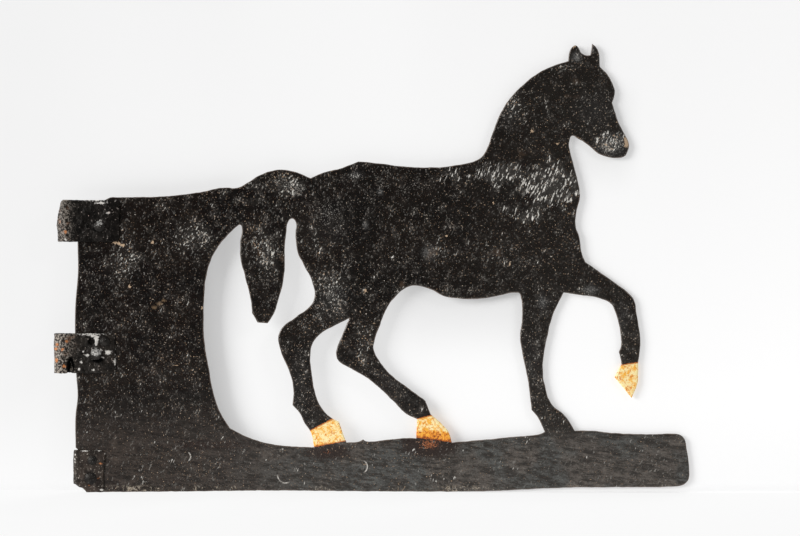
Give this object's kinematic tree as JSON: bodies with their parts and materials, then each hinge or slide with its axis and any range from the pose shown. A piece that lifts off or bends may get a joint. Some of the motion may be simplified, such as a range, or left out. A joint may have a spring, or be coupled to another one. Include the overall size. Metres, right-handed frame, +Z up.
{
  "type": "weather vane",
  "caption": "Flat sheet-iron weather vane: a walking horse and tail panel on a base bar, with riveted strap eyes for an upright spindle.",
  "frame": {"origin": "on the axis of the spindle that the two eyes turn on, level with the lowest edge of the base bar", "axes": "+X along the sheet from the spindle to the horse's head, +Z up the spindle, -Y out of the face that the picture shows"},
  "size_m": [0.635, 0.019, 0.4481],
  "materials": {
    "sheet_paint": "old near-black paint, pebbled and worn, with brown rust showing through and pale yellow hooves",
    "top_strap_paint": "old black paint, speckled grey-beige where it is worn on the eye",
    "middle_strap_paint": "grey worn paint with orange rust spots on the eye and whitish deposits on the leaf",
    "bottom_strap_paint": "matt charcoal paint, rubbed grey along its edges",
    "rivet_iron": "painted iron heads, worn grey on their crowns"
  },
  "bodies": {
    "root": {"vane_plate": "sheet_paint", "top_strap": "top_strap_paint", "middle_strap": "middle_strap_paint", "bottom_strap": "bottom_strap_paint", "top_strap_rivet": "rivet_iron", "middle_strap_rivet_upper": "rivet_iron", "middle_strap_rivet_lower": "rivet_iron", "bottom_strap_rivet_upper": "rivet_iron", "bottom_strap_rivet_lower": "rivet_iron"}
  },
  "joints": []
}
